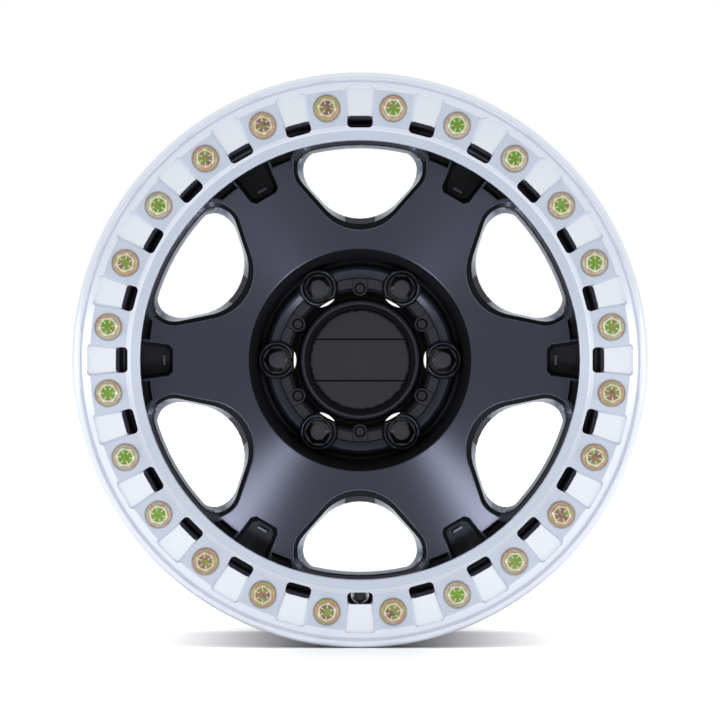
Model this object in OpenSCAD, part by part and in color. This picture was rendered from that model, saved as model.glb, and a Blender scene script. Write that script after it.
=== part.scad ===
// Beadlock wheel, 17 by 8.5 inch, six lugs, modelled in millimetres.
// It stands upright: the axle runs along Y, the outboard side faces -Y and Z is up.
// The origin is the centre of the hub bore at the mounting face.
// Each piece is drawn lying down, with z as the distance outboard of that face, and stood up at the end.

/* [Hub] */
// Diameter of the hub bore
hub_bore_d = 112.1; // [100:0.1:114]
// Length of the hub bore at its finished size
hub_bore_len = 24; // [18:1:28]
// Diameter of the mounting pad
pad_d = 172; // [168:1:176]
// Distance from the mounting face to the cap seat
cap_seat_z = 34; // [32:0.5:38]
// Depth of the relief pockets in the mounting pad
pad_pocket_depth = 12; // [6:1:14]

/* [Lugs] */
// Number of lugs, and of spokes and windows
lug_count = 6; // [6]
// Pitch circle diameter of the lugs
lug_pcd = 139.7; // [138:0.1:141]
// Diameter of a lug hole
lug_hole_d = 15.2; // [14.5:0.1:16]
// Diameter of the counterbore round a lug nut
counterbore_d = 25.2; // [25:0.1:26]
// Length of the plain lug hole under the cone seat
lug_hole_len = 13.3; // [10:0.1:15]
// Outer diameter of a lug boss at its top
boss_d = 31.4; // [31:0.1:33]
// Distance from the mounting face to the top of a lug boss
boss_top_z = 45; // [43:0.5:48]
// Size of the lug nut's hexagon across its flats
nut_flats = 19; // [17:0.5:19]
// Distance that the nut reaches above the boss
nut_proud = 0.6; // [0:0.1:3]

/* [Face and spokes] */
// Distance from the mounting face to the spoke face
face_z = 110; // [106:1:112]
// Distance from the ring's opening in to the edge of the spoke face
face_inset = 6.3; // [5.5:0.1:8]
// Radius of the hub recess at the spoke face
recess_r = 91.6; // [90:0.2:93]
// Thickness of a spoke at its back pocket
spoke_skin = 13; // [11:1:16]
// Distance from the mounting face to the back of the spokes
spoke_back_z = 66; // [62:1:72]

/* [Windows] */
// Radius of a window's inner end at the spoke face
window_inner_r = 106.5; // [105:0.5:108]
// Half width of a window at the spoke face
window_half_w = 55.2; // [54:0.2:56]
// Distance from the spoke face down to the crease inside a window
crease_depth = 4.5; // [3:0.1:6]
// Width of the bevel from the spoke face to the crease, at the sides
bevel_w = 3.5; // [3:0.1:4]
// Width of the drafted wall below the crease, at the sides
draft_w = 4.9; // [4:0.1:5.5]

/* [Rim] */
// Diameter of the rim at the bead seat
bead_seat_d = 436.6; // [436:0.2:437]
// Width of the rim from the mounting face to the back edge
back_spacing = 121; // [116:1:127]
// Height of the inboard flange above the bead seat
flange_height = 17.5; // [17:0.1:18]
// Depth of the drop centre below the bead seat
well_depth = 34.3; // [33:0.1:35]
// Thickness of the rim wall
rim_wall = 7; // [6:0.2:8]

/* [Beadlock] */
// Height of the beadlock ring's edge above the bead seat
ring_lip_h = 17.7; // [16.5:0.1:19.5]
// Distance from the bolt circle in to the ring's opening
ring_reach = 27.6; // [26:0.1:28]
// Distance from the mounting face to the ring's seat
ring_seat_z = 118.5; // [117:0.5:120]
// Thickness of the ring at its bolts
ring_t = 12.5; // [11:0.5:14]
// Gap that the tyre bead is clamped in
bead_gap = 16; // [14:0.5:18]
// Thickness of the flange behind the tyre bead
backing_t = 7.5; // [6:0.5:9]
// Number of ring bolts, and of pockets between them
bolt_count = 24; // [24]
// Distance of the ring's bolt circle inside the bead seat
bolt_inset = 10.4; // [9.8:0.1:10.8]
// Diameter of a ring bolt's shank
bolt_d = 9.5; // [9:0.1:10]
// Length of a ring bolt under its head
bolt_len = 32; // [28:1:33]
// Size of a ring bolt's hexagon across its flats
bolt_flats = 14.3; // [13:0.1:15]
// Diameter of a ring bolt's flange
bolt_flange_d = 21.6; // [20:0.1:22]
// Depth of a ring pocket at its outer end
pocket_depth = 4; // [3:0.1:5]
// Depth of a ring pocket at its slot
pocket_depth_slot = 2.4; // [1.5:0.1:3]
// Width of a slot through the ring
slot_w = 20.9; // [19:0.1:22]
// Radial height of a slot through the ring
slot_h = 9.8; // [9:0.1:10.5]

/* [Centre cap] */
// Width of the ledge round the hub bore that carries the cap
cap_ledge = 12.65; // [12:0.05:13]
// Thickness of the cap's flange
cap_flange_t = 4; // [3:0.5:5]
// Distance of the cap screws in from the flange's edge
cap_screw_inset = 8.7; // [8.4:0.1:9.2]
// Diameter of the raised cup in the middle of the cap
cup_d = 99.6; // [98:0.2:101]
// Height of the cup above the cap's seat
cup_h = 19; // [16:0.5:22]
// Diameter of the round plate in the cup
plate_d = 83.4; // [82:0.2:85]
// Distance of each groove in the plate from its middle
groove_offset = 17.4; // [14:0.2:20]
// Depth of a groove in the plate
groove_depth = 1.6; // [0.5:0.1:2]
// Width of a groove in the plate
groove_w = 1.5; // [1:0.1:2]

/* [Valve] */
// Distance of the valve's axis outside the drop centre
valve_over_well = 10; // [9.5:0.1:10.5]
// Diameter of the valve's threaded stem
valve_d = 8; // [7.6:0.1:8.4]
// Diameter of the valve hole
valve_hole_d = 11.5; // [11.3:0.1:12]

/* [Hidden] */

// Smoothness of round features and of rounded corners in profiles
$fn = 96;
corner_steps = 5;
far = 400;

// Clearance between pieces that seat on each other
seat_gap = 0.05;
fit_gap = 0.3;

// Hub and lugs
bore_r = hub_bore_d / 2;
cap_r = bore_r + cap_ledge;
crest_r = cap_r + 5;
bore_chamfer = 1.5;
bore_relief = 1.4;
pad_r = pad_d / 2;
lug_r = lug_pcd / 2;
lug_hole_r = lug_hole_d / 2;
counterbore_r = counterbore_d / 2;
boss_r = boss_d / 2;
seat_angle = 30;
seat_top_z = lug_hole_len + (counterbore_r - lug_hole_r) / tan(seat_angle);
groove_z = cap_seat_z - 4;
crest_z = cap_seat_z + 8.5;
recess_bottom_r = lug_r + boss_r - 0.5;
lug_step = 360 / lug_count;
nut_top_r = 6.4;

// Ring
bead_seat_r = bead_seat_d / 2;
ring_r = bead_seat_r + ring_lip_h;
bolt_r = bead_seat_r - bolt_inset;
ring_inner_r = bolt_r - ring_reach;
face_edge_r = ring_inner_r - face_inset;
crease_z = face_z - crease_depth;
well_r = bead_seat_r - well_depth;
ring_front_z = ring_seat_z + ring_t;
bolt_step = 360 / bolt_count;
register_r = bead_seat_r - 1.3;
lip_back_z = ring_seat_z - 3.5;
backing_front_z = lip_back_z - bead_gap;
backing_r = ring_r - 4;
spot_depth = 0.5;
spot_r = bolt_flange_d / 2 + 0.7;
bolt_seat_z = ring_front_z - spot_depth;
land_inner_r = bolt_r - 10.9;
insert_r = 6.4;
insert_len = bolt_len - ring_t - 0.5;
slot_mid_r = land_inner_r - 1.6;
slot_outer_r = slot_mid_r + slot_h / 2;
slot_inner_r = slot_mid_r - slot_h / 2;
slot_corner_r = 3.3;
pocket_outer_r = bolt_r + 16.2;
bay_outer_r = pocket_outer_r - 2.5;
bay_inner_r = slot_inner_r + 1.2;

// Gutter between the spoke face and the ring's land
gutter_z = backing_front_z - 5;
web_t = rim_wall;
frame_top_z = face_z - 0.4;

// Cap
cap_top_z = cap_seat_z + cap_flange_t;
cup_r = cup_d / 2;
cup_top_z = cap_seat_z + cup_h;
plate_r = plate_d / 2;
plate_t = 3;
plate_top_z = cup_top_z - 2.5;
valley_z = cap_seat_z - 1.5;
skirt_r = bore_r + bore_relief - fit_gap;
skirt_z = cap_seat_z - 4;
valley_r = lug_r - 16.4;
scallop_r = lug_r - valley_r;
tab_w = 12.4;
cap_screw_r = cap_r - cap_screw_inset;
cap_screw_hole_r = 2.2;
cap_screw_thread_r = 2;
cap_screw_len = 11;

// Valve
valve_angle = -90;
valve_r = well_r + valve_over_well;
valve_spot_r = 10;
valve_back_z = gutter_z - web_t;
valve_seat_z = gutter_z - 0.5;
valve_tip_z = ring_seat_z - 4;

// Points along an arc
function arc(c, r, from, to, steps) =
    [for (i = [0:steps]) let (a = from + (to - from) * i / steps) c + r * [cos(a), sin(a)]];

// The corner q of an outline, rounded by the radius r
function round_corner(p, q, s, r) =
    r == 0 ? [q] :
    let (
        a = (p - q) / norm(p - q),
        b = (s - q) / norm(s - q),
        half = acos(a * b) / 2,
        reach = r / tan(half),
        c = q + (a + b) / norm(a + b) * r / sin(half),
        t1 = q + a * reach,
        t2 = q + b * reach,
        a1 = atan2(t1[1] - c[1], t1[0] - c[0]),
        a2 = atan2(t2[1] - c[1], t2[0] - c[0]),
        turn = (a2 - a1 + 900) % 360 - 180
    ) arc(c, r, a1, a1 + turn, corner_steps);

// An outline from corners given as [x, y, radius]
function rounded(corners) =
    let (n = len(corners))
    [for (i = [0:n - 1])
        let (
            p = corners[(i + n - 1) % n],
            q = corners[i],
            s = corners[(i + 1) % n]
        )
        each round_corner([p[0], p[1]], [q[0], q[1]], [s[0], s[1]], q[2])];

// A window's outline in its own plane: u points outwards from the axle, v runs across.
// Its outer end follows a circle round the axle, and its sides run in to a round inner end.
function window_outline(outer_r, half_w, corner_r, side, shoulder_r, inner_u, inner_r) =
    let (
        corner_u = sqrt(pow(outer_r - corner_r, 2) - pow(half_w - corner_r, 2)),
        corner_a = atan2(half_w - corner_r, corner_u),
        line = inner_r - sin(side) * (inner_u + inner_r),
        shoulder_u = (cos(side) * (half_w - shoulder_r) + shoulder_r - line) / sin(side),
        shoulder_v = half_w - shoulder_r
    )
    concat(
        arc([0, 0], outer_r, -corner_a + 2, corner_a - 2, 6),
        arc([corner_u, half_w - corner_r], corner_r, corner_a, 88, 5),
        arc([shoulder_u, shoulder_v], shoulder_r, 92, 90 + side, 4),
        arc([inner_u + inner_r, 0], inner_r, 94 + side, 266 - side, 10),
        arc([shoulder_u, -shoulder_v], shoulder_r, 270 - side, 268, 4),
        arc([corner_u, corner_r - half_w], corner_r, 272, 360 - corner_a, 5)
    );

// A solid through outlines of equal length, each at its own list of heights
module loft(outlines, heights) {
    n = len(outlines[0]);
    levels = len(outlines);
    polyhedron(
        points = [for (k = [0:levels - 1]) for (i = [0:n - 1])
            [outlines[k][i][0], outlines[k][i][1], heights[k][i]]],
        faces = concat(
            [[for (i = [0:n - 1]) i]],
            [for (k = [0:levels - 2]) for (i = [0:n - 1]) let (j = (i + 1) % n)
                [k * n + i, (k + 1) * n + i, (k + 1) * n + j, k * n + j]],
            [[for (i = [n - 1:-1:0]) (levels - 1) * n + i]]
        ),
        convexity = 4
    );
}

// The same height for every point of an outline
function level(outline, z) = [for (p = outline) z];

// Copies round the axle
module around(count, start = 0) {
    for (i = [0:count - 1]) rotate([0, 0, start + i * 360 / count]) children();
}

// Turns a piece from lying, outboard side up, to standing, outboard side to -Y
module stand() {
    rotate([90, 0, 0]) children();
}

// Section of the casting: hub, spoke disc, gutter, beadlock flange and rim
function casting_profile() = rounded([
    [bore_r - 3, 0, 0],
    [pad_r, 0, 1.5],
    [pad_r + 5, spoke_back_z - 10, 9],
    [pad_r + 24, spoke_back_z - 3, 9],
    [face_edge_r - 4, spoke_back_z, 7],
    [well_r - rim_wall + 1.4, spoke_back_z - 10, 9],
    [well_r - rim_wall + 1.4, 16, 20],
    [bead_seat_r - 19, -30, 20],
    [bead_seat_r - 3 - rim_wall, -76, 20],
    [bead_seat_r - 2.5 - rim_wall, -back_spacing, 1.5],
    [bead_seat_r + flange_height, -back_spacing, 4.5],
    [bead_seat_r + flange_height, 9.5 - back_spacing, 4.5],
    [bead_seat_r + 5, 11 - back_spacing, 5],
    [bead_seat_r + 0.4, 15 - back_spacing, 3],
    [bead_seat_r - 1.2, 34 - back_spacing, 3],
    [bead_seat_r + 1.1, 38 - back_spacing, 2],
    [bead_seat_r - 3, 46 - back_spacing, 6],
    [bead_seat_r - 12, -30, 25],
    [well_r, 20, 20],
    [well_r, gutter_z - web_t, 3],
    [land_inner_r + 7, gutter_z - web_t, 3],
    [land_inner_r + 14, backing_front_z - backing_t - 1, 4],
    [backing_r, backing_front_z - backing_t, 3],
    [backing_r, backing_front_z, 2],
    [register_r, backing_front_z, 1],
    [register_r, ring_seat_z, 1],
    [land_inner_r, ring_seat_z, 1],
    [land_inner_r, gutter_z, 3],
    [face_edge_r + 1, gutter_z, 3],
    [face_edge_r, face_z, 1.2],
    [recess_r, face_z, 1.2],
    [recess_bottom_r, groove_z, 3.5],
    [crest_r + 6.5, groove_z, 2],
    [crest_r + 1.6, crest_z, 2.6],
    [cap_r + 0.3, cap_top_z + 0.6, 0],
    [cap_r + 0.3, cap_seat_z, 0],
    [bore_r - 3, cap_seat_z, 0]
]);

// The three outlines that a window is cut through, from the spoke face to its back
face_outline = window_outline(ring_inner_r + 2.3, window_half_w, 17, 41, 20, window_inner_r, 40);
crease_outline = window_outline(
    ring_inner_r - 2.9, window_half_w - bevel_w, 15, 41.5, 20, window_inner_r + 5.6, 39
);
back_outline = window_outline(
    ring_inner_r - 2.6, window_half_w - bevel_w - draft_w, 15, 42, 24, window_inner_r + 11.6, 43
);
frame_outline = window_outline(
    ring_inner_r + 5.2, window_half_w + 2.4, 19, 41, 20, window_inner_r + 1, 41
);

module window_cut() {
    above = 2 * face_outline - crease_outline;
    outlines = [back_outline, back_outline, crease_outline, above];
    heights = [spoke_back_z - 30, spoke_back_z - 4, crease_z, 2 * face_z - crease_z];
    loft(outlines, [for (k = [0:3]) level(outlines[k], heights[k])]);
}

// The rim of a window, which stands up out of the gutter
module window_frame() {
    translate([0, 0, gutter_z - web_t / 2])
        linear_extrude(height = frame_top_z - gutter_z + web_t / 2) polygon(frame_outline);
}

// Outline of the pocket in the end of a spoke, made wider all round by m
function end_pocket_outline(m) = let (u = face_edge_r - 20 - m, v = 9.4 + m)
    [[u + 38 + m, -v - 8.1], [u + 38 + m, v + 8.1], [u + 3.5, v + 3.6], [u, v], [u, -v], [u + 3.5, -v - 3.6]];

// Pocket in the end of a spoke, open to the gutter, with a small bar on its floor
module spoke_end_pocket() {
    depth = 15;
    top = end_pocket_outline(0);
    floor_edge = end_pocket_outline(-3);
    difference() {
        loft(
            [floor_edge, 2 * top - floor_edge],
            [level(top, face_z - depth), level(top, face_z + depth)]
        );
        translate([face_edge_r - 13.4, -4.2, face_z - depth - 1]) cube([2, 8.4, 4]);
    }
}

// The rim of that pocket, which runs on across the gutter and under the ring
module spoke_end_frame() {
    half_far = 9.4 + 8.1 + 1.7;
    translate([0, 0, gutter_z - web_t / 2])
        linear_extrude(height = frame_top_z - 0.4 - gutter_z + web_t / 2) polygon([
            [face_edge_r - 14, -half_far + 4], [face_edge_r + 14.5, -half_far + 0.5],
            [face_edge_r + 14.5, half_far - 0.5], [face_edge_r - 14, half_far - 4]
        ]);
}

// Lightening pocket in the back of a spoke
module spoke_back_pocket() {
    from_r = face_edge_r - 65;
    to_r = face_edge_r - 28;
    outline = rounded([[from_r, -18, 8], [to_r, -23, 8], [to_r, 23, 8], [from_r, 18, 8]]);
    translate([0, 0, spoke_back_z - 30])
        linear_extrude(height = face_z - spoke_skin - spoke_back_z + 30) polygon(outline);
}

// Relief pocket in the mounting pad, between two lugs
module pad_pocket() {
    half = 9;
    end_r = 7;
    outline = concat(
        arc([0, 0], lug_r + end_r, -half, half, 6),
        arc(lug_r * [cos(half), sin(half)], end_r, half + 15, half + 165, 6),
        arc([0, 0], lug_r - end_r, half, -half, 6),
        arc(lug_r * [cos(half), -sin(half)], end_r, 195 - half, 345 - half, 6)
    );
    translate([0, 0, -1]) linear_extrude(height = pad_pocket_depth + 1) polygon(outline);
}

module lug_boss() {
    translate([lug_r, 0, 0]) rotate_extrude() polygon([
        [0, groove_z - 8],
        [boss_r + 0.9, groove_z - 8],
        [boss_r, boss_top_z - 1.2],
        [boss_r - 1.2, boss_top_z],
        [0, boss_top_z]
    ]);
}

// Plain hole, cone seat and counterbore
module lug_hole() {
    translate([lug_r, 0, 0]) rotate_extrude() polygon([
        [0, -1],
        [lug_hole_r, -1],
        [lug_hole_r, lug_hole_len],
        [counterbore_r, seat_top_z],
        [counterbore_r, boss_top_z - 1],
        [counterbore_r + 2, boss_top_z + 1],
        [counterbore_r + 2, far],
        [0, far]
    ]);
}

// Hub bore with a chamfer at the mounting face and a relief behind the cap
module hub_bore() {
    rotate_extrude($fn = 180) polygon([
        [0, -1],
        [bore_r + bore_chamfer + 1, -1],
        [bore_r, bore_chamfer],
        [bore_r, hub_bore_len],
        [bore_r + bore_relief, hub_bore_len + bore_relief],
        [bore_r + bore_relief, far],
        [0, far]
    ]);
}

module wheel_casting() color([0.13, 0.13, 0.15]) stand() {
    difference() {
        union() {
            rotate_extrude($fn = 180) polygon(casting_profile());
            around(lug_count, lug_step / 2) window_frame();
            around(lug_count) spoke_end_frame();
            around(lug_count) lug_boss();
        }
        around(lug_count, lug_step / 2) window_cut();
        around(lug_count) spoke_end_pocket();
        around(lug_count) spoke_back_pocket();
        around(lug_count) lug_hole();
        around(lug_count, lug_step / 2) pad_pocket();
        around(bolt_count, bolt_step / 2)
            translate([bolt_r, 0, ring_seat_z - insert_len - 2])
                cylinder(h = insert_len + 3, r = insert_r);
        around(lug_count, lug_step / 2)
            translate([cap_screw_r, 0, cap_seat_z - cap_screw_len])
                cylinder(h = cap_screw_len + 1, r = cap_screw_thread_r);
        // The hub bore also cuts the inner side of the lug bosses
        hub_bore();
        // Valve hole, and the round relief that gives its nut room
        rotate([0, 0, valve_angle]) translate([valve_r, 0, 0]) {
            translate([0, 0, valve_seat_z]) cylinder(h = far, r = valve_spot_r);
            translate([0, 0, valve_back_z - 5]) cylinder(h = 20, r = valve_hole_d / 2);
        }
    }
}

// Section of the ring: inner lip, bolt land, stepped outer lip that clamps the bead
function ring_profile() = rounded([
    [ring_inner_r, ring_seat_z + 2.5, 1],
    [land_inner_r - 1, ring_seat_z + 1, 0],
    [land_inner_r + 1, ring_seat_z + seat_gap, 0],
    [register_r + fit_gap, ring_seat_z + seat_gap, 0],
    [register_r + fit_gap, lip_back_z, 0.8],
    [register_r + 5, lip_back_z, 0],
    [register_r + 6, lip_back_z + 1, 0],
    [register_r + 7, lip_back_z, 0],
    [register_r + 9, lip_back_z, 0],
    [register_r + 10, lip_back_z + 1, 0],
    [register_r + 11, lip_back_z, 0],
    [ring_r, lip_back_z, 3.5],
    [ring_r, ring_front_z - 0.6, 5],
    [ring_r - 5.6, ring_front_z - 0.6, 0.6],
    [ring_r - 6, ring_front_z - 2.5, 0.4],
    [bay_outer_r + 6.2, ring_front_z - 2.5, 0.8],
    [bay_outer_r, ring_front_z, 1],
    [bay_inner_r, ring_front_z, 1],
    [bay_inner_r - 3.2, ring_front_z - 3, 1],
    [ring_inner_r, ring_front_z - 3, 1]
]);

// Pocket between two bolts: its floor slopes, its sides are drafted, and it opens into the slot
module ring_pocket() {
    half_outer = slot_w / 2 + 3.1;
    half_slot = slot_w / 2 - 0.4;
    above = 2;
    slope = (pocket_depth - pocket_depth_slot) / (pocket_outer_r - slot_outer_r);
    draft = 0.58;
    top = rounded([
        [slot_mid_r, -half_slot, 0],
        [pocket_outer_r, -half_outer, 3],
        [pocket_outer_r, half_outer, 3],
        [slot_mid_r, half_slot, 0]
    ]);
    bottom = rounded([
        [slot_mid_r, pocket_depth_slot * draft - half_slot, 0],
        [pocket_outer_r - 0.8, pocket_depth * draft - half_outer, 2.2],
        [pocket_outer_r - 0.8, half_outer - pocket_depth * draft, 2.2],
        [slot_mid_r, half_slot - pocket_depth_slot * draft, 0]
    ]);
    depths = [for (p = bottom) pocket_depth_slot + (p[0] - slot_outer_r) * slope];
    mouth = [for (i = [0:len(top) - 1]) top[i] + (top[i] - bottom[i]) * above / depths[i]];
    loft([bottom, mouth], [[for (d = depths) ring_front_z - d], level(top, ring_front_z + above)]);
}

module ring_slot() {
    h = slot_w / 2;
    r = slot_corner_r;
    outline = rounded([
        [slot_inner_r, -h, r],
        [slot_outer_r, -h, r],
        [slot_outer_r, h, r],
        [slot_inner_r, h, r]
    ]);
    translate([0, 0, ring_seat_z - 2]) linear_extrude(height = ring_t + 4) polygon(outline);
}

module beadlock_ring() color([0.86, 0.87, 0.9]) stand() {
    difference() {
        rotate_extrude($fn = 180) polygon(ring_profile());
        around(bolt_count) ring_pocket();
        around(bolt_count) ring_slot();
        around(bolt_count, bolt_step / 2) translate([bolt_r, 0, 0]) {
            translate([0, 0, ring_seat_z - 1]) cylinder(h = ring_t + 2, r = bolt_d / 2 + fit_gap);
            translate([0, 0, bolt_seat_z]) cylinder(h = 5, r = spot_r);
        }
    }
}

// Hexagon head whose corners are turned off by a cone, down to a round top
module hex_head(flats, h, chamfer, top_r) {
    corner_r = flats / sqrt(3);
    intersection() {
        translate([0, 0, -1]) cylinder(h = h + 2, r = corner_r, $fn = 6);
        rotate_extrude() polygon([
            [0, 0], [corner_r + 0.3, 0], [corner_r + 0.3, h - chamfer], [top_r, h], [0, h]
        ]);
    }
}

// Flange bolts through the ring; each is turned by its own angle, as they stop when tight
module ring_bolts() color([0.72, 0.68, 0.32]) stand() {
    for (i = [0:bolt_count - 1])
        rotate([0, 0, bolt_step * (i + 0.5)]) translate([bolt_r, 0, bolt_seat_z + seat_gap])
            rotate([0, 0, (i * 37) % 60]) {
                rotate_extrude() polygon([
                    [0, -bolt_len],
                    [bolt_d / 2 - 1.2, -bolt_len],
                    [bolt_d / 2, 1.5 - bolt_len],
                    [bolt_d / 2, 0],
                    [bolt_flange_d / 2, 0],
                    [bolt_flange_d / 2, 1.2],
                    [bolt_flats / 2 + 0.4, 2.6],
                    [0, 2.6]
                ]);
                translate([0, 0, 1]) hex_head(bolt_flats, 8, 1.1, bolt_flats / 2 - 0.3);
            }
}

// Steel sleeves that the ring bolts screw into, set flush in the casting
module thread_inserts() color([0.6, 0.6, 0.62]) stand() {
    around(bolt_count, bolt_step / 2)
        translate([bolt_r, 0, ring_seat_z - insert_len]) difference() {
            cylinder(h = insert_len - seat_gap, r = insert_r - seat_gap / 2);
            translate([0, 0, -1]) cylinder(h = insert_len + 2, r = bolt_d / 2 + seat_gap);
        }
}

// Closed lug nuts: a cone that seats in the casting, a hexagon and a flat top
module lug_nut() {
    seat_r = counterbore_r - 0.7;
    start_r = lug_hole_r + 0.6;
    start_z = lug_hole_len + (start_r - lug_hole_r) / tan(seat_angle) + seat_gap;
    cone_h = (seat_r - start_r) / tan(seat_angle);
    hex_z = start_z + cone_h + 1.5;
    top_z = boss_top_z + nut_proud;
    difference() {
        union() {
            rotate_extrude() polygon([
                [0, start_z], [start_r, start_z], [seat_r, start_z + cone_h], [seat_r, hex_z], [0, hex_z]
            ]);
            translate([0, 0, hex_z - 0.5])
                hex_head(nut_flats, top_z - hex_z + 0.5, 2.6, nut_top_r);
        }
        translate([0, 0, start_z - 1]) cylinder(h = top_z - start_z - 6, r = 6.3);
    }
}

module lug_nuts() color([0.08, 0.08, 0.09]) stand() {
    around(lug_count) translate([lug_r, 0, 0]) lug_nut();
}

// Section of the cap: flange on the hub's ledge, valley, and the cup that holds the plate
function cap_profile() = rounded([
    [0, cap_seat_z + 4, 0],
    [cup_r - 7, cap_seat_z + 4, 3],
    [cup_r - 5, skirt_z, 1],
    [skirt_r - 0.8, skirt_z, 1],
    [skirt_r, cap_seat_z + seat_gap, 0],
    [cap_r, cap_seat_z + seat_gap, 0],
    [cap_r, cap_top_z, 0.6],
    [cap_r - 7.4, cap_top_z, 3],
    [cap_r - 10.7, valley_z + 3.8, 3],
    [cup_r + 1.6, valley_z, 2],
    [cup_r, cup_top_z - 1, 2],
    [cup_r - 3, cup_top_z, 1.4],
    [plate_r + 0.8, plate_top_z - 1, 0.6],
    [plate_r + 0.2, plate_top_z - plate_t, 0],
    [0, plate_top_z - plate_t, 0]
]);

// Tongues with rounded ends that carry the cap screws across the valley
module cap_tabs() {
    round_r = tab_w / 2;
    tab_outline = concat(
        [[cap_r - 1.7, -round_r], [cap_r - 1.7, round_r]],
        arc([cap_screw_r, 0], round_r, 90, 270, 12)
    );
    intersection() {
        around(lug_count, lug_step / 2)
            translate([0, 0, skirt_z]) linear_extrude(height = 30) polygon(tab_outline);
        rotate_extrude() polygon([
            [cup_r + 2.4, valley_z - 1],
            [skirt_r - 0.7, valley_z - 1],
            [skirt_r + 0.3, cap_seat_z + 0.6],
            [cap_r - 1.1, cap_seat_z + 0.6],
            [cap_r - 1.1, cap_top_z + 0.25],
            [cup_r + 2.4, cap_top_z + 0.25]
        ]);
    }
}

module centre_cap() color([0.09, 0.09, 0.1]) stand() {
    difference() {
        union() {
            rotate_extrude() polygon(cap_profile());
            cap_tabs();
        }
        around(lug_count) translate([lug_r, 0, cap_seat_z - 20]) cylinder(h = 60, r = scallop_r);
        around(lug_count, lug_step / 2)
            translate([cap_screw_r, 0, cap_seat_z - 10]) cylinder(h = 30, r = cap_screw_hole_r);
    }
}

// Round plate set in the cup, with a bevelled edge and two straight grooves
module cap_medallion() color([0.14, 0.14, 0.16]) stand() {
    bevel = 1.6;
    translate([0, 0, plate_top_z - plate_t + seat_gap]) difference() {
        rotate_extrude() polygon([
            [0, 0], [plate_r, 0], [plate_r, plate_t - 1], [plate_r - bevel, plate_t], [0, plate_t]
        ]);
        for (y = [-groove_offset, groove_offset])
            translate([-far / 2, y - groove_w / 2, plate_t - groove_depth]) cube([far, groove_w, plate_t]);
    }
}

module cap_screws() color([0.1, 0.1, 0.11]) stand() {
    around(lug_count, lug_step / 2)
        translate([cap_screw_r, 0, cap_top_z + 0.25 + seat_gap]) difference() {
            rotate_extrude() polygon([
                [0, -cap_screw_len - 2],
                [cap_screw_thread_r - seat_gap, -cap_screw_len - 2],
                [cap_screw_thread_r - seat_gap, 0],
                [4.8, 0],
                [4.8, 1.2],
                [3.4, 2.5],
                [0, 2.5]
            ]);
            translate([0, 0, 0.9]) cylinder(h = 3, r = 2.3, $fn = 6);
        }
}

// Puts a valve piece on the valve's axis
module at_valve() {
    rotate([0, 0, valve_angle]) translate([valve_r, 0, 0]) children();
}

// Brass stem with a round foot on the tyre side and a passage along its middle
module valve_stem() color([0.78, 0.7, 0.45]) stand() at_valve() {
    foot_z = valve_back_z - 4.5;
    difference() {
        union() {
            translate([0, 0, foot_z]) cylinder(h = 2.5, r = 7.6);
            translate([0, 0, foot_z]) cylinder(h = valve_tip_z - 10 - foot_z, r = valve_d / 2);
            translate([0, 0, valve_tip_z - 10.01]) cylinder(h = 8.5, r = valve_d / 2 - 0.3);
        }
        translate([0, 0, foot_z - 1]) cylinder(h = far, r = 1.6);
        translate([0, 0, valve_tip_z - 14]) cylinder(h = 20, r = 2.4);
    }
}

// Rubber seal: a flat ring under the stem's foot and a sleeve in the valve hole
module valve_seal() color([0.05, 0.05, 0.05]) stand() at_valve() {
    difference() {
        union() {
            translate([0, 0, valve_back_z - 2 + seat_gap])
                cylinder(h = 2 - 2 * seat_gap, r = 7.6);
            translate([0, 0, valve_back_z - 1])
                cylinder(h = valve_seat_z - valve_back_z + 1 - seat_gap, r = valve_hole_d / 2 - seat_gap);
        }
        translate([0, 0, valve_back_z - 10]) cylinder(h = far, r = valve_d / 2 + seat_gap);
    }
}

module valve_washer() color([0.7, 0.71, 0.72]) stand() at_valve() {
    translate([0, 0, valve_seat_z + seat_gap]) difference() {
        cylinder(h = 1.2, r = 7.6);
        translate([0, 0, -1]) cylinder(h = 4, r = valve_d / 2 + seat_gap);
    }
}

module valve_nut() color([0.72, 0.73, 0.75]) stand() at_valve() {
    translate([0, 0, valve_seat_z + 1.2 + 2 * seat_gap]) difference() {
        hex_head(12, 4.5, 0.8, 5.7);
        translate([0, 0, -1]) cylinder(h = 8, r = valve_d / 2 + seat_gap);
    }
}

// Valve core screwed into the stem's mouth
module valve_core() color([0.75, 0.66, 0.4]) stand() at_valve() {
    translate([0, 0, valve_tip_z - 13.9]) cylinder(h = 6, r1 = 1.5, r2 = 2.3);
    translate([0, 0, valve_tip_z - 8]) cylinder(h = 5.5, r = 2.35);
    translate([0, 0, valve_tip_z - 3]) cylinder(h = 1, r = 0.7);
}

module valve_cap() color([0.06, 0.06, 0.06]) stand() at_valve() {
    difference() {
        union() {
            translate([0, 0, valve_tip_z - 9.9]) cylinder(h = 8.4, r = 4.9);
            translate([0, 0, valve_tip_z - 1.5]) cylinder(h = 1.5, r1 = 4.9, r2 = 3.9);
        }
        translate([0, 0, valve_tip_z - 11]) cylinder(h = 9.7, r = valve_d / 2 - 0.25);
    }
}

wheel_casting();
beadlock_ring();
ring_bolts();
thread_inserts();
lug_nuts();
centre_cap();
cap_medallion();
cap_screws();
valve_stem();
valve_seal();
valve_washer();
valve_nut();
valve_core();
valve_cap();
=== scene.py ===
import math
import random

import bmesh
import bpy
from mathutils import Matrix, Vector


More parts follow.
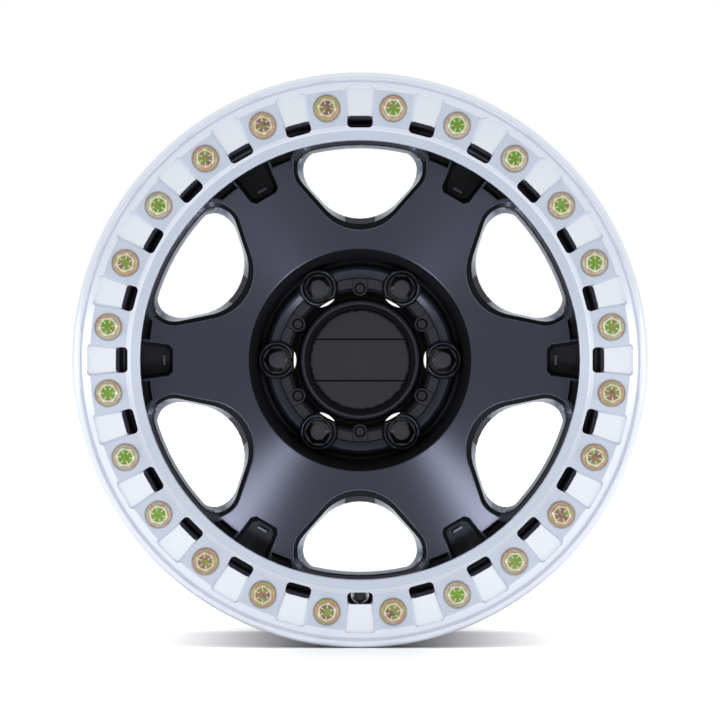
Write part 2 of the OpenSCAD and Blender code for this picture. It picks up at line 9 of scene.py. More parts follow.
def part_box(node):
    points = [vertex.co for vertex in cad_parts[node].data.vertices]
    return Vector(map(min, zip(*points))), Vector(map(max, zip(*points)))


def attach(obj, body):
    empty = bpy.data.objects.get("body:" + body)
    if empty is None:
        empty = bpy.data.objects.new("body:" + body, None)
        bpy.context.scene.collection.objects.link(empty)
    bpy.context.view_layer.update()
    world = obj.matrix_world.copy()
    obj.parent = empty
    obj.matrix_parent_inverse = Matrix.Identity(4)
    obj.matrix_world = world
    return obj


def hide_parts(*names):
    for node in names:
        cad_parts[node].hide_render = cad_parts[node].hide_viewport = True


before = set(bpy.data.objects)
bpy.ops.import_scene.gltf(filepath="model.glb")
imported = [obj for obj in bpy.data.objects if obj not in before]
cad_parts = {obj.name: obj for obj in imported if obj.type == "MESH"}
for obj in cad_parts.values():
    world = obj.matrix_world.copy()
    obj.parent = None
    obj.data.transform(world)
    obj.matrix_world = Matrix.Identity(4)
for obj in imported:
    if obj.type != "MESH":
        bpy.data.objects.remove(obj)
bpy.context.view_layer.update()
scene = bpy.context.scene
scene.view_settings.view_transform = "Standard"

# Camera: level with the axle and straight in front of the wheel, 3.85 m from the ring, through a
# long lens. The ring then fills four fifths of the frame, as it does on the photograph.
camera_distance = 3.981  # from the mounting face
camera_data = bpy.data.cameras.new("camera")
camera_data.lens = 235
camera_data.sensor_width = 36
camera_data.clip_end = 60
camera = bpy.data.objects.new("camera", camera_data)
camera.location = (0, -camera_distance, 0)
camera.rotation_euler = (math.radians(90), 0, 0)
scene.collection.objects.link(camera)
scene.camera = camera


# Casting: hub, six spokes, gutter, flange and rim are one aluminium casting. Its face is turned on
# a lathe and the whole is painted satin black, so that the fine rings of the cut still catch light.
def add(tree, kind, inputs=None, **settings):
    # A shader node. inputs gives each input a value, or another node's socket to be wired to.
    node = tree.nodes.new("ShaderNode" + kind)
    for name, value in settings.items():
        setattr(node, name, value)
    for name, value in (inputs or {}).items():
        if isinstance(value, bpy.types.NodeSocket):
            tree.links.new(value, node.inputs[name])
        else:
            node.inputs[name].default_value = value
    return node


def axle_distance(tree):
    place = add(tree, "TexCoord").outputs["Object"]
    flat = add(tree, "VectorMath", {0: place, 1: (1, 0, 1)}, operation="MULTIPLY")
    return add(tree, "VectorMath", {0: flat.outputs[0]}, operation="LENGTH").outputs["Value"]


def surface(name, colour, grain, rough, relief, edge, lathe=None, **sockets):
    # A material whose roughness wanders between the two numbers of rough, on a pattern of scale
    # grain. relief is the strength of its fine bumps, and edge the radius in metres that paint or a
    # deburring wheel leaves on its edges. lathe is the scale and detail of the rings that a cutter
    # left round the axle. sockets are the shader's other inputs, such as Metallic=1.
    material = bpy.data.materials.new(name)
    material.use_nodes = True
    tree = material.node_tree
    shader = tree.nodes["Principled BSDF"]
    shader.inputs["Base Color"].default_value = (*colour, 1)
    for socket, value in sockets.items():
        shader.inputs[socket.replace("_", " ")].default_value = value
    place = add(tree, "TexCoord").outputs["Object"]
    noise = add(tree, "TexNoise", {"Vector": place, "Scale": grain, "Detail": 4})
    height = noise.outputs["Fac"]
    spread = add(tree, "MapRange", {"Value": height, "To Min": rough[0], "To Max": rough[1]})
    tree.links.new(spread.outputs["Result"], shader.inputs["Roughness"])
    if "Anisotropic" in sockets:
        # The grooves run round the axle, so a highlight spreads outwards from it
        around = add(tree, "VectorMath", {0: (0, 1, 0), 1: place}, operation="CROSS_PRODUCT")
        tree.links.new(around.outputs[0], shader.inputs["Tangent"])
        shader.inputs["Anisotropic Rotation"].default_value = 0.25
    if lathe:
        rings = {"W": axle_distance(tree), "Scale": lathe[0], "Detail": lathe[1]}
        height = add(tree, "TexNoise", rings, noise_dimensions="1D").outputs["Fac"]
    if relief:
        soft = add(tree, "Bevel", {"Radius": edge}, samples=4).outputs[0]
        bumps = {"Strength": relief, "Distance": 0.0002, "Height": height, "Normal": soft}
        tree.links.new(add(tree, "Bump", bumps).outputs[0], shader.inputs["Normal"])
    return material


def dressed_copy(node, name, skins, smooth_angle=32):
    # A copy of a CAD node with its triangles joined and its curved faces shaded smooth
    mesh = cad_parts[node].data.copy()
    piece = bpy.data.objects.new(name, mesh)
    scene.collection.objects.link(piece)
    mesh.materials.clear()
    shape = bmesh.new()
    shape.from_mesh(mesh)
    bmesh.ops.remove_doubles(shape, verts=shape.verts, dist=2e-6)
    shape.to_mesh(mesh)
    shape.free()
    bpy.ops.object.select_all(action="DESELECT")
    piece.select_set(True)
    bpy.context.view_layer.objects.active = piece
    bpy.ops.mesh.customdata_custom_splitnormals_clear()
    bpy.ops.object.shade_smooth_by_angle(angle=math.radians(smooth_angle))
    bpy.ops.object.modifier_add(type="WEIGHTED_NORMAL")
    piece.modifiers[-1].keep_sharp = True
    piece.modifiers[-1].weight = 80
    bpy.ops.object.modifier_apply(modifier=piece.modifiers[-1].name)
    for skin in skins:
        piece.data.materials.append(skin)
    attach(piece, "root")
    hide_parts(node)
    return piece


class FacePlace:
    # Where the middle of a face is, in mm: out from the axle, high above the mounting face towards
    # the outside of the vehicle, and along and across the nearest spoke. Then the shares of its
    # normal that point away from the axle, round it and to the front.
    def __init__(self, face):
        middle = face.center * 1000
        turn = math.degrees(math.atan2(middle.z, middle.x))
        turn = math.radians((turn + 30) % 60 - 30)
        self.out = math.hypot(middle.x, middle.z)
        self.high = -middle.y
        self.along = self.out * math.cos(turn)
        self.across = abs(self.out * math.sin(turn))
        reach = max(self.out, 0.001)
        self.away = (face.normal.x * middle.x + face.normal.z * middle.z) / reach
        self.around = (face.normal.z * middle.x - face.normal.x * middle.z) / reach
        self.front = -face.normal.y


def split_at(piece, inside, distance, normal=(0, 1, 0)):
    # Cuts the faces that inside(out, high) accepts along a plane, so that each side can have its
    # own finish. The plane lies distance from the origin along its normal, in mm.
    shape = bmesh.new()
    shape.from_mesh(piece.data)
    faces = []
    for face in shape.faces:
        middle = face.calc_center_median() * 1000
        if inside(math.hypot(middle.x, middle.z), -middle.y):
            faces.append(face)
    edges = {edge for face in faces for edge in face.edges}
    verts = {vert for face in faces for vert in face.verts}
    bmesh.ops.bisect_plane(
        shape,
        geom=[*verts, *edges, *faces],
        plane_co=Vector(normal) * distance / 1000,
        plane_no=normal,
    )
    shape.to_mesh(piece.data)
    shape.free()


def turned_normals(piece, skip=()):
    # Faces that a lathe turned get the true normal of their cone at each corner. Faces whose finish
    # is in skip stay as they are.
    mesh = piece.data
    normals = [tuple(corner.vector) for corner in mesh.corner_normals]
    for face in mesh.polygons:
        at = FacePlace(face)
        if abs(at.around) > 0.06 or face.material_index in skip:
            continue
        away = math.copysign(math.sqrt(max(0, 1 - at.front**2)), at.away)
        for corner in face.loop_indices:
            spot = mesh.vertices[mesh.loops[corner].vertex_index].co
            reach = math.hypot(spot.x, spot.z)
            normals[corner] = (away * spot.x / reach, face.normal.y, away * spot.z / reach)
    mesh.normals_split_custom_set(normals)


satin = surface(
    "satin_black_paint",
    (0.015, 0.0175, 0.036),
    grain=900,
    rough=(0.34, 0.42),
    relief=0.18,
    edge=0.0007,
    lathe=(1400, 3),
    Anisotropic=0.9,
)
# Painted shade: rough cast walls in recesses, such as the hub's and those of the end pockets, are
# painted near black and dull for the shade that falls in them
shade_black = surface(
    "dull_black_painted_shade",
    (0.0035, 0.0035, 0.0045),
    grain=1100,
    rough=(0.5, 0.65),
    relief=0.12,
    edge=0.0006,
    Specular_IOR_Level=0.2,
)
# It is smooth and glossy on the drafted walls of the windows. The strength of their reflection is
# painted by distance from the axle: bluish along their sides and dimmer towards both ends
gloss = surface(
    "gloss_black_paint",
    (0.010, 0.011, 0.016),
    grain=700,
    rough=(0.14, 0.22),
    relief=0.02,
    edge=0.0003,
    Metallic=1,
)
# Painted reflection: the tint of the walls' reflection is set by distance from the axle
tree = gloss.node_tree
fifths = add(tree, "Math", {0: axle_distance(tree), 1: 5}, operation="MULTIPLY")
painted_reflection = add(tree, "ValToRGB", {"Fac": fifths.outputs[0]})
colours = painted_reflection.color_ramp
colours.interpolation = "EASE"
colours.elements[0].position = 0.545
colours.elements[0].color = (0.05, 0.05, 0.06, 1)
colours.elements[1].position = 0.66
colours.elements[1].color = (0.62, 0.67, 0.77, 1)
colours.elements.new(0.79).color = (0.57, 0.62, 0.71, 1)
colours.elements.new(0.86).color = (0.42, 0.46, 0.53, 1)
tree.links.new(painted_reflection.outputs["Color"], tree.nodes["Principled BSDF"].inputs["Specular Tint"])

# Painted highlights: the small bar in each end pocket is painted pale, and sharp edges a little
# paler, where they catch the light
bar_highlight = surface(
    "painted_highlight_bar",
    (0.06, 0.062, 0.072),
    grain=1600,
    rough=(0.35, 0.5),
    relief=0.08,
    edge=0.0004,
    Metallic=0.6,
)
# Painted highlight for the sharp edges and the crest round the hub
edge_highlight = surface(
    "painted_edge_highlight",
    (0.11, 0.12, 0.165),
    grain=900,
    rough=(0.30, 0.38),
    relief=0.05,
    edge=0.0004,
)
# Inside the barrel the paint lies evenly, and shows as a soft grey band through the windows
barrel = surface(
    "barrel_paint",
    (0.012, 0.013, 0.018),
    grain=700,
    rough=(0.26, 0.32),
    relief=0,
    edge=0,
    Metallic=1,
    Specular_Tint=(0.57, 0.62, 0.71, 1),
)
# The gutter under the ring has no rings of the lathe, and is painted darker than the satin: painted
# shade under the ring
gutter_shade = surface(
    "gutter_painted_shade",
    (0.010, 0.010, 0.014),
    grain=900,
    rough=(0.42, 0.52),
    relief=0.08,
    edge=0.0005,
    Specular_IOR_Level=0.35,
)
SATIN, SHADE, GLOSS, BAR_HIGHLIGHT, EDGE_HIGHLIGHT, BARREL, GUTTER_SHADE = range(7)
skins = (satin, shade_black, gloss, bar_highlight, edge_highlight, barrel, gutter_shade)
casting = dressed_copy("wheel_casting", "casting", skins)

# In mm, as all places on the casting are. Its spokes' face is 110 high, and its gutter 94.
lug_circle_radius = 69.85
lug_bore_radius = 17.2


def near_window_end(out, high):
    return 170 < out < 184 and 36 < high < 109.4


split_at(casting, lambda out, high: out > 95 and 105 < high < 109.9, -109.45)
split_at(casting, near_window_end, -106.4)
split_at(casting, near_window_end, -90)
split_at(casting, lambda out, high: 165 < out < 184 and 2 < high < 50, -20)
split_at(casting, lambda out, high: 74 < out < 81 and 29 < high < 43, -35)


def casting_finish(at):
    # The finish of the zone that the middle of a face is in. The first zone that fits is taken.
    if 160 < at.along < 163.2 and at.across < 4.5 and 95.1 < at.high < 100:
        return BAR_HIGHLIGHT  # bar in an end pocket, painted highlight
    if 171 < at.out < 200 and 92 < at.high < 94.6:
        return GUTTER_SHADE  # floor of the gutter, painted shade
    if 170 < at.out < 184 and 90 < at.high < 109.3 and at.away > 0.8:
        return GUTTER_SHADE  # outer end of a spoke, painted shade
    if at.out > 100 and 109.4 < at.high < 109.97 and at.front < 0.95:
        return EDGE_HIGHLIGHT  # edge of the spokes' face, painted highlight
    if 153.5 < at.along < 190 and at.across < 19.8 and 93.9 < at.high < 109:
        return SHADE  # end pocket, painted shade
    if at.out > 100 and 105.4 < at.high < 109.97 and at.front < 0.95:
        if not (at.out > 172 and at.high > 106.3 and at.away < -0.2):
            return SHADE  # bevel round a window, painted shade
    if 170 < at.out < 184 and at.across > 26 and 90 < at.high < 105.5:
        if abs(at.front) < 0.5 and at.away < -0.7:
            return SHADE  # outer end of a window, painted shade
    if 184 < at.out < 200 and 85 < at.high < 118.7:
        return SHADE  # painted shade under the ring
    if 165 < at.out < 182 and 20 < at.high < 90 and at.away < -0.3:
        return BARREL  # inside of the barrel
    if 100 < at.out < 181 and at.across > 26 and 40 < at.high < 105.5 and abs(at.front) < 0.5:
        return SATIN if at.away > 0.92 else GLOSS  # inner end and sides of a window
    if 74.6 < at.out < 78.6 and 34 < at.high < 42.6:
        return EDGE_HIGHLIGHT  # crest round the hub, painted highlight
    if 79.5 < at.out < 91.8 and 29 < at.high < 108.9:
        return SHADE  # wall of the hub's recess, painted shade
    from_lug = math.hypot(at.along - lug_circle_radius, at.across)
    if from_lug < lug_bore_radius and 13 < at.high < 43.5:
        return SHADE  # bore of a lug nut, painted shade
    return SATIN


for face in casting.data.polygons:
    face.material_index = casting_finish(FacePlace(face))
turned_normals(casting, skip=(SATIN, SHADE, GLOSS, BAR_HIGHLIGHT, EDGE_HIGHLIGHT, GUTTER_SHADE))


# Beadlock ring: a billet ring turned bright on the lathe, so its face is made of fine circles. The
# 24 pockets between the bolts are milled afterwards and have a duller, even floor. The outer lip
# and the narrow chamfers had a last fine cut, and are the brightest.
def turned_aluminium(name, colour):
    return surface(
        name,
        colour,
        grain=500,
        rough=(0.30, 0.38),
        relief=0.12,
        edge=0.0006,
        lathe=(1800, 4),
        Metallic=1,
        Anisotropic=0.85,
    )


turned = turned_aluminium("turned_aluminium", (0.67, 0.72, 0.82))
fine_turned = turned_aluminium("finish_turned_aluminium", (0.85, 0.885, 0.95))
milled = surface(
    "milled_aluminium",
    (0.88, 0.905, 0.94),
    grain=1600,
    rough=(0.40, 0.52),
    relief=0.10,
    edge=0.0004,
    Metallic=1,
)
TURNED, MILLED, FINE_TURNED = range(3)
ring_skins = (turned, milled, fine_turned)
ring = dressed_copy("beadlock_ring", "ring", ring_skins, smooth_angle=19)
ring_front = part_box("beadlock_ring")[0][1] * -1000  # mm high


def ring_finish(at):
    if 189.5 < at.out < 224.2 and 126.2 < at.high < ring_front - 0.8 and at.front > 0.93:
        return MILLED  # floor of a pocket
    if abs(at.around) < 0.06 and at.out > 220.5 and (at.front < 0.97 or at.out > 230.2):
        return FINE_TURNED  # outer chamfer, ledge and lip
    if abs(at.around) < 0.06 and 188.2 < at.out < 191.8 and at.front < 0.97:
        return FINE_TURNED  # inner chamfer
    return TURNED


for face in ring.data.polygons:
    face.material_index = ring_finish(FacePlace(face))
turned_normals(ring, skip=(MILLED,))


# Ring bolts: 24 forged flange bolts, yellow zinc plated, which shines green and red where the
# plating is thin. Each has six raised grade marks, and stops at its own angle when it is tight.
def zinc(name, colour, rough, patches=()):
    # patches are colours that the plating turns to, each with where it starts on the pattern
    material = surface(name, colour, grain=700, rough=rough, relief=0.15, edge=0.00035, Metallic=1)
    if not patches:
        return material
    tree = material.node_tree
    place = add(tree, "TexCoord").outputs["Object"]
    pattern = {"Vector": place, "Scale": 210, "Detail": 3, "Distortion": 0.6}
    cloud = add(tree, "TexNoise", pattern).outputs["Fac"]
    tone = add(tree, "Attribute", attribute_name="tone").outputs["Fac"]
    shifted = add(tree, "Math", {0: cloud, 1: tone}, operation="ADD").outputs[0]
    ramp = add(tree, "ValToRGB", {"Fac": shifted})
    colours = ramp.color_ramp.elements
    first, patch = patches[0]
    colours[0].color = (*colour, 1)
    colours[0].position = first - 0.12
    colours[1].color = (*patch, 1)
    colours[1].position = first
    for start, patch in patches[1:]:
        colours.new(start).color = (*patch, 1)
    tree.links.new(ramp.outputs["Color"], tree.nodes["Principled BSDF"].inputs["Base Color"])
    return material


gold_patches = (
    (0.49, (0.50, 0.38, 0.23)),
    (0.57, (0.54, 0.27, 0.21)),
    (0.65, (0.40, 0.39, 0.16)),
)
green_patches = (
    (0.50, (0.26, 0.42, 0.10)),
    (0.57, (0.36, 0.25, 0.12)),
    (0.64, (0.36, 0.17, 0.18)),
    (0.71, (0.20, 0.16, 0.15)),
)
gold = zinc("zinc_gold", (0.47, 0.44, 0.33), (0.28, 0.42), gold_patches)
# Painted shade: the rim of each flange is a dark zinc, for the shade where the bolt meets the ring
rim_shade = zinc("zinc_painted_rim_shade", (0.13, 0.105, 0.075), (0.35, 0.5))
pale = zinc("zinc_pale", (0.72, 0.74, 0.56), (0.20, 0.32), ((0.60, (0.66, 0.60, 0.44)),))
green = zinc("zinc_green", (0.20, 0.36, 0.06), (0.25, 0.38), green_patches)
cream = zinc("zinc_cream", (0.80, 0.76, 0.48), (0.25, 0.35))

# One bolt is modelled upright in metres, with its seat at z = 0, and then copied round the ring
head_across_flats = 0.0143
head_radius = head_across_flats / 2
flange_radius = 0.0108
flange_height = 0.0012
head_height = 0.009
cone_radius = 0.00675  # where the cone that takes the head's corners off meets its top
cone_slope = 0.62
sunken_radius = 0.0059
rim_inner_radius = 0.01035
mark_count = 6
mark_size = (0.0027, 0.0008, 0.0004)
mark_circle_radius = 0.0045
bolt_count = 24
bolt_circle_radius = 0.2079
bolt_seat_height = 0.13055


def cylinder(vertices, radius, low, high):
    bpy.ops.mesh.primitive_cylinder_add(
        vertices=vertices, radius=radius, depth=high - low, location=(0, 0, (low + high) / 2)
    )
    bpy.ops.object.transform_apply()
    return bpy.context.object


def join(pieces):
    bpy.ops.object.select_all(action="DESELECT")
    for piece in pieces:
        piece.select_set(True)
    bpy.context.view_layer.objects.active = pieces[0]
    bpy.ops.object.join()
    return pieces[0]


bpy.ops.object.select_all(action="DESELECT")
flange = cylinder(48, flange_radius, 0, flange_height)
bpy.ops.object.mode_set(mode="EDIT")
bpy.ops.mesh.select_mode(type="EDGE")
bpy.ops.mesh.select_all(action="DESELECT")
shape = bmesh.from_edit_mesh(flange.data)
for edge in shape.edges:
    edge.select = abs(edge.verts[0].co.z - edge.verts[1].co.z) < 1e-6
bmesh.update_edit_mesh(flange.data)
bpy.ops.mesh.bevel(offset=0.00035, segments=3)
bpy.ops.mesh.select_mode(type="FACE")
bpy.ops.mesh.select_all(action="DESELECT")
shape = bmesh.from_edit_mesh(flange.data)
for face in shape.faces:
    face.select = face.normal.z > 0.99 and len(face.verts) > 8
bmesh.update_edit_mesh(flange.data)
bpy.ops.mesh.inset(thickness=0.0006)
bpy.ops.mesh.inset(thickness=0.0020)
bpy.ops.transform.translate(value=(0, 0, 0.0013))
bpy.ops.object.mode_set(mode="OBJECT")

# The head's top is a flat rim round a sunken middle
head = cylinder(48, head_radius, 0.001, head_height)
bpy.ops.object.mode_set(mode="EDIT")
bpy.ops.mesh.select_mode(type="FACE")
for inset, lift in ((0.0004, 0), (0.0006, 0), (0.00025, -0.00025)):
    bpy.ops.mesh.select_all(action="DESELECT")
    shape = bmesh.from_edit_mesh(head.data)
    top = max(shape.faces, key=lambda f: (len(f.verts), f.calc_center_median().z))
    top.select = True
    bmesh.update_edit_mesh(head.data)
    bpy.ops.mesh.inset(thickness=inset)
    bpy.ops.transform.translate(value=(0, 0, lift))
shape = bmesh.from_edit_mesh(head.data)
for vert in shape.verts:
    out = math.hypot(vert.co.x, vert.co.y)
    if out > head_radius - 0.0001:
        # The round side becomes six flats, and a cone takes the corners off at the top
        turn = (math.degrees(math.atan2(vert.co.y, vert.co.x)) + 30) % 60 - 30
        wide = head_radius / math.cos(math.radians(turn))
        vert.co.x *= wide / out
        vert.co.y *= wide / out
        if vert.co.z > 0.005:
            vert.co.z -= (wide - cone_radius) * cone_slope
bmesh.update_edit_mesh(head.data)
bpy.ops.object.mode_set(mode="OBJECT")

marks = []
for i in range(mark_count):
    angle = math.radians(360 / mark_count * (i + 0.5))
    bpy.ops.mesh.primitive_cube_add(size=1, rotation=(0, 0, angle))
    mark = bpy.context.object
    mark.scale = mark_size
    mark.location = (
        mark_circle_radius * math.cos(angle),
        mark_circle_radius * math.sin(angle),
        head_height - 0.0002,
    )
    bpy.ops.object.transform_apply()
    bpy.ops.object.modifier_add(type="BEVEL")
    mark.modifiers[-1].width = 0.00012
    mark.modifiers[-1].segments = 2
    bpy.ops.object.modifier_apply(modifier=mark.modifiers[-1].name)
    mark.data.materials.append(cream)
    marks.append(mark)

shank = cylinder(24, 0.00475, -0.0313, 0.0003)
bpy.ops.object.modifier_add(type="BEVEL")
shank.modifiers[-1].width = 0.001
shank.modifiers[-1].limit_method = "ANGLE"
bpy.ops.object.modifier_apply(modifier=shank.modifiers[-1].name)

for piece, piece_skins in ((flange, (gold, rim_shade)), (head, (pale, green)), (shank, (gold,))):
    for skin in piece_skins:
        piece.data.materials.append(skin)
PALE, GREEN = range(2)
for face in head.data.polygons:
    in_middle = math.hypot(face.center.x, face.center.y) < sunken_radius
    face.material_index = GREEN if face.normal.z > 0.9 and in_middle else PALE
GOLD, RIM_SHADE = range(2)
# The rim of each flange gets the painted shade
for face in flange.data.polygons:
    at_rim = math.hypot(face.center.x, face.center.y) > rim_inner_radius
    face.material_index = RIM_SHADE if at_rim else GOLD
bolt = join([flange, head, shank] + marks)
bpy.ops.object.shade_smooth_by_angle(angle=math.radians(28))

dice = random.Random(4)
bolts = []
stand = Matrix.Rotation(math.radians(90), 4, "X")
step_out = Matrix.Translation((bolt_circle_radius, 0, bolt_seat_height))
for i in range(bolt_count):
    turn = Matrix.Rotation(math.radians(360 / bolt_count * (i + 0.5)), 4, "Z")
    spin = Matrix.Rotation(math.radians((i * 37) % 60), 4, "Z")
    mesh = bolt.data.copy()
    mesh.transform(stand @ turn @ step_out @ spin)
    # The plating of each bolt is a little thicker or thinner
    tone = mesh.attributes.new("tone", "FLOAT", "FACE")
    tone.data.foreach_set("value", [dice.uniform(-0.13, 0.15)] * len(mesh.polygons))
    copy = bpy.data.objects.new("bolt_%02d" % (i + 1), mesh)
    scene.collection.objects.link(copy)
    bolts.append(copy)
bpy.data.objects.remove(bolt)
bolts = join(bolts)
bolts.name = "bolts"
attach(bolts, "root")
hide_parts("ring_bolts")


# Centre cap and lug nuts: the cap is a turned black cover on six tabs, with a grooved plate in its
# cup, and the nuts are closed black ones. Cap and nuts are glossier than the casting.
def black(name, colour, rough, edge=0.0005, **sockets):
    return surface(name, colour, grain=1200, rough=rough, relief=0.08, edge=edge, **sockets)


cap_black = black("cap_black", (0.019, 0.019, 0.032), (0.28, 0.36), Anisotropic=0.5)
cap = dressed_copy("centre_cap", "cap", (cap_black, shade_black))
BLACK, CAP_SHADE = range(2)
# A thin line of painted shade runs along both sides of each tab, this far from its middle in mm
shade_line_inner, shade_line_outer = 6.25, 6.75
for angle in (120, 180, 240):
    side = (math.cos(math.radians(angle)), 0, math.sin(math.radians(angle)))
    for distance in (-shade_line_outer, -shade_line_inner, shade_line_inner, shade_line_outer):
        split_at(cap, lambda out, high: 56 < out < 69 and high > 36, distance, side)


def cap_finish(at, beside_tab):
    if 57 < at.out < 68.6 and at.high > 36 and shade_line_inner < beside_tab < shade_line_outer:
        return CAP_SHADE  # painted shade beside a tab
    if 49.2 < at.out < 58.6 and at.high < 50.5 and not (at.across > 1 and at.high > 37.9):
        return CAP_SHADE  # painted shade in the valley between the flange and the cup
    if 41.5 < at.out < 47.5 and at.high > 47 and at.away < -0.3:
        return CAP_SHADE  # inner slope of the cup, painted shade
    return BLACK


sixth = math.pi / 3
for face in cap.data.polygons:
    at = FacePlace(face)
    turn = math.atan2(face.center.z, face.center.x)
    beside_tab = abs(at.out * math.sin(turn % sixth - sixth / 2))
    face.material_index = cap_finish(at, beside_tab)
turned_normals(cap)

plate_black = black("plate_black", (0.008, 0.008, 0.016), (0.36, 0.44))
plate = dressed_copy("cap_medallion", "cap_plate", (plate_black, shade_black))
plate_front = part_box("cap_medallion")[0][1]
groove_height = 0.0174
groove_half_width = 0.0008
PLATE_BLACK, PLATE_GROOVE_SHADE = range(2)
# Painted shade: the sunken faces of the grooves get the near black paint
for face in plate.data.polygons:
    in_groove = abs(abs(face.center.z) - groove_height) < groove_half_width
    sunken = face.center.y > plate_front + 0.0002
    face.material_index = PLATE_GROOVE_SHADE if in_groove and sunken else PLATE_BLACK

nut_black = black("nut_black", (0.004, 0.004, 0.005), (0.10, 0.16))
# Painted sheen: the flat tops of the nuts are paler, where they face the light
nut_top_painted_sheen = black("nut_top_painted_sheen", (0.040, 0.040, 0.056), (0.32, 0.40))
nuts = dressed_copy("lug_nuts", "nuts", (nut_black, nut_top_painted_sheen))
nut_top_height = 0.0453
NUT_BLACK, NUT_TOP_PAINTED_SHEEN = range(2)
for face in nuts.data.polygons:
    on_top = face.normal.y < -0.99 and face.center.y < -nut_top_height
    face.material_index = NUT_TOP_PAINTED_SHEEN if on_top else NUT_BLACK

screw_black = black("screw_black", (0.010, 0.010, 0.012), (0.25, 0.35), edge=0.0003)
screws = dressed_copy("cap_screws", "cap_screws_black", (screw_black,))

# Valve and thread inserts: a bolt-in valve of brass with a rubber seal, nickel nut and washer and a
# plastic cap, and the steel sleeves that the ring bolts screw into.
small_parts = (
    ("brass", (0.72, 0.56, 0.28), 1, (0.25, 0.35), ("valve_stem", "valve_core")),
    ("nickel", (0.66, 0.65, 0.62), 1, (0.18, 0.28), ("valve_washer", "valve_nut")),
    ("steel", (0.50, 0.50, 0.52), 1, (0.30, 0.40), ("thread_inserts",)),
    ("rubber", (0.02, 0.02, 0.02), 0, (0.55, 0.70), ("valve_seal",)),
    ("black_plastic", (0.02, 0.02, 0.02), 0, (0.35, 0.45), ("valve_cap",)),
)
for slot, colour, metallic, rough, nodes in small_parts:
    skin = surface(
        slot, colour, grain=1500, rough=rough, relief=0.12, edge=0.0003, Metallic=metallic
    )
    for node in nodes:
        dressed_copy(node, node + "_dressed", (skin,))

# Floor and studio: the wheel stands on a white floor in a white room, a little darker only behind
# the camera. A lamp at each side lights the ring, cap, nuts, screws and bolts, two low ones the
# casting from below, and a broad one overhead the floor.
floor_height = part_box("beadlock_ring")[0][2] - 0.0002
bpy.ops.object.select_all(action="DESELECT")
bpy.ops.mesh.primitive_plane_add(size=60, location=(0, 0, floor_height))
floor = bpy.context.object
floor.name = "floor"
white = bpy.data.materials.new("white_floor")
white.use_nodes = True
tree = white.node_tree
shader = tree.nodes["Principled BSDF"]
shader.inputs["Roughness"].default_value = 0.9
shader.inputs["Specular IOR Level"].default_value = 0.0
seen_by_camera = add(tree, "LightPath").outputs["Is Camera Ray"]
place = add(tree, "TexCoord").outputs["Object"]

# Painted shade: the floor that the wheel mirrors is a little darker away from it, as if less lit
# there
reach = add(tree, "VectorMath", {0: place}, operation="LENGTH").outputs["Value"]
dimming = {"Value": reach, "From Min": 0.5, "From Max": 1.5, "To Min": 1.0, "To Max": 0.9}
painted_falloff = add(tree, "MapRange", dimming, interpolation_type="SMOOTHSTEP").outputs["Result"]
mirrored = add(tree, "VectorMath", {0: (0.78, 0.78, 0.80), "Scale": painted_falloff}, operation="SCALE")
tint = add(
    tree,
    "Mix",
    {"Factor": seen_by_camera, "A": mirrored.outputs[0], "B": (0.76, 0.76, 0.76, 1)},
    data_type="RGBA",
)
tree.links.new(tint.outputs["Result"], shader.inputs["Base Color"])

# Painted light: seen by the camera, the floor glows more away from the wheel's middle, which lifts
# the wheel's shadow except where the wheel meets the floor
across = add(tree, "SeparateXYZ", {0: place}).outputs["X"]
aside = add(tree, "Math", {0: across}, operation="ABSOLUTE").outputs[0]
lifting = {"Value": aside, "From Min": 0.03, "From Max": 0.17, "To Min": 0.0, "To Max": 0.62}
painted_lift = add(tree, "MapRange", lifting, interpolation_type="SMOOTHSTEP").outputs["Result"]
painted_glow = add(tree, "Math", {0: seen_by_camera, 1: painted_lift}, operation="MULTIPLY").outputs[0]
shader.inputs["Emission Color"].default_value = (1, 1, 1, 1)
tree.links.new(painted_glow, shader.inputs["Emission Strength"])
floor.data.materials.append(white)

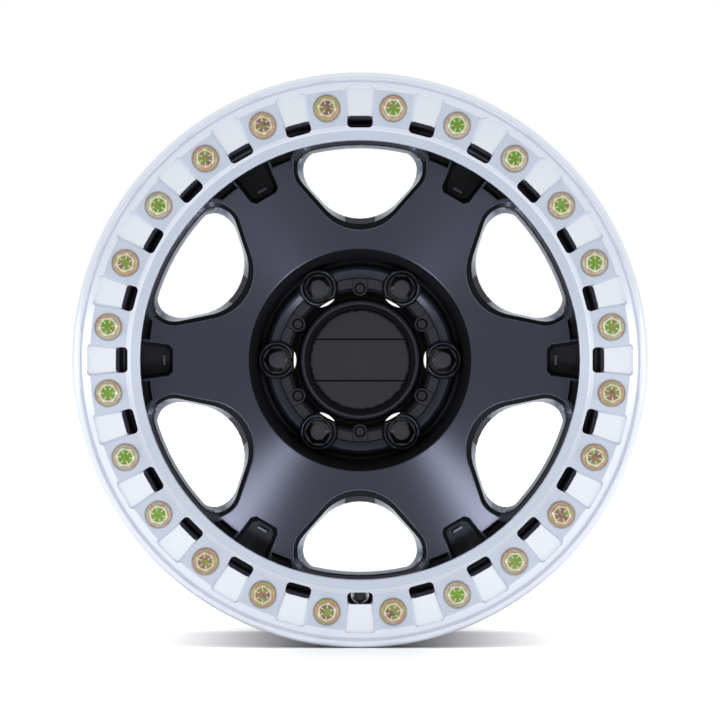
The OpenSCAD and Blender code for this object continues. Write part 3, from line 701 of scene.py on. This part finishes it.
world = bpy.data.worlds.new("studio")
world.use_nodes = True
scene.world = world
tree = world.node_tree
direction = add(tree, "TexCoord").outputs["Generated"]
depth = add(tree, "SeparateXYZ", {0: direction}).outputs["Y"]
fading = {"Value": depth, "From Min": -1.0, "From Max": -0.72, "To Min": 0.64, "To Max": 0.97}
strength = add(tree, "MapRange", fading, interpolation_type="SMOOTHSTEP").outputs["Result"]
room = tree.nodes["Background"]
room.inputs["Color"].default_value = (0.955, 0.97, 1.0, 1)
tree.links.new(strength, room.inputs["Strength"])
backdrop = add(tree, "Background", {"Color": (1, 1, 1, 1)})
seen_by_camera = add(tree, "LightPath").outputs["Is Camera Ray"]
mix = add(tree, "MixShader", {0: seen_by_camera, 1: room.outputs[0], 2: backdrop.outputs[0]})
tree.links.new(mix.outputs[0], tree.nodes["World Output"].inputs["Surface"])


def shine_only_on(lamp, pieces):
    # Flags in the studio keep this lamp off the other pieces
    lit = bpy.data.collections.new(lamp.name + "_lights")
    for piece in pieces:
        lit.objects.link(piece)
    lamp.light_linking.receiver_collection = lit


def soft_lamp(name, azimuth, reach, front, size, power, colour, pieces):
    # A square lamp that looks at the middle of the wheel. azimuth is in degrees on the wheel's
    # face, anticlockwise from the right; reach is from the axle and front from the mounting face.
    lamp = bpy.data.lights.new(name, "AREA")
    lamp.shape = "RECTANGLE"
    lamp.size = lamp.size_y = size
    lamp.energy = power
    lamp.color = colour
    body = bpy.data.objects.new(name, lamp)
    angle = math.radians(azimuth)
    body.location = (reach * math.cos(angle), -front, reach * math.sin(angle))
    aim = Vector((0, -0.1, 0)) - body.location
    body.rotation_euler = aim.to_track_quat("-Z", "Y").to_euler()
    body.visible_camera = False
    body.visible_diffuse = False
    scene.collection.objects.link(body)
    shine_only_on(body, pieces)


plain_white = (1, 1, 1)
lavender = (0.70, 0.74, 1)
bright = (ring, bolts, nuts, cap, plate, screws)
soft_lamp("lamp_left", 179, 1.6, 1.5, 0.4, 1.7, plain_white, bright)
soft_lamp("lamp_right", 1, 1.6, 1.5, 0.4, 1.7, plain_white, bright)
soft_lamp("lamp_low_left", 231, 0.27, 0.34, 0.05, 1.4, lavender, (casting,))
soft_lamp("lamp_low_right", 309, 0.27, 0.34, 0.05, 1.55, lavender, (casting,))
sun = bpy.data.lights.new("lamp_over_floor", "SUN")
sun.energy = 1.8
sun.angle = math.radians(42)
overhead = bpy.data.objects.new("lamp_over_floor", sun)
overhead.rotation_euler = (math.radians(12), 0, 0)
scene.collection.objects.link(overhead)
shine_only_on(overhead, (floor,))
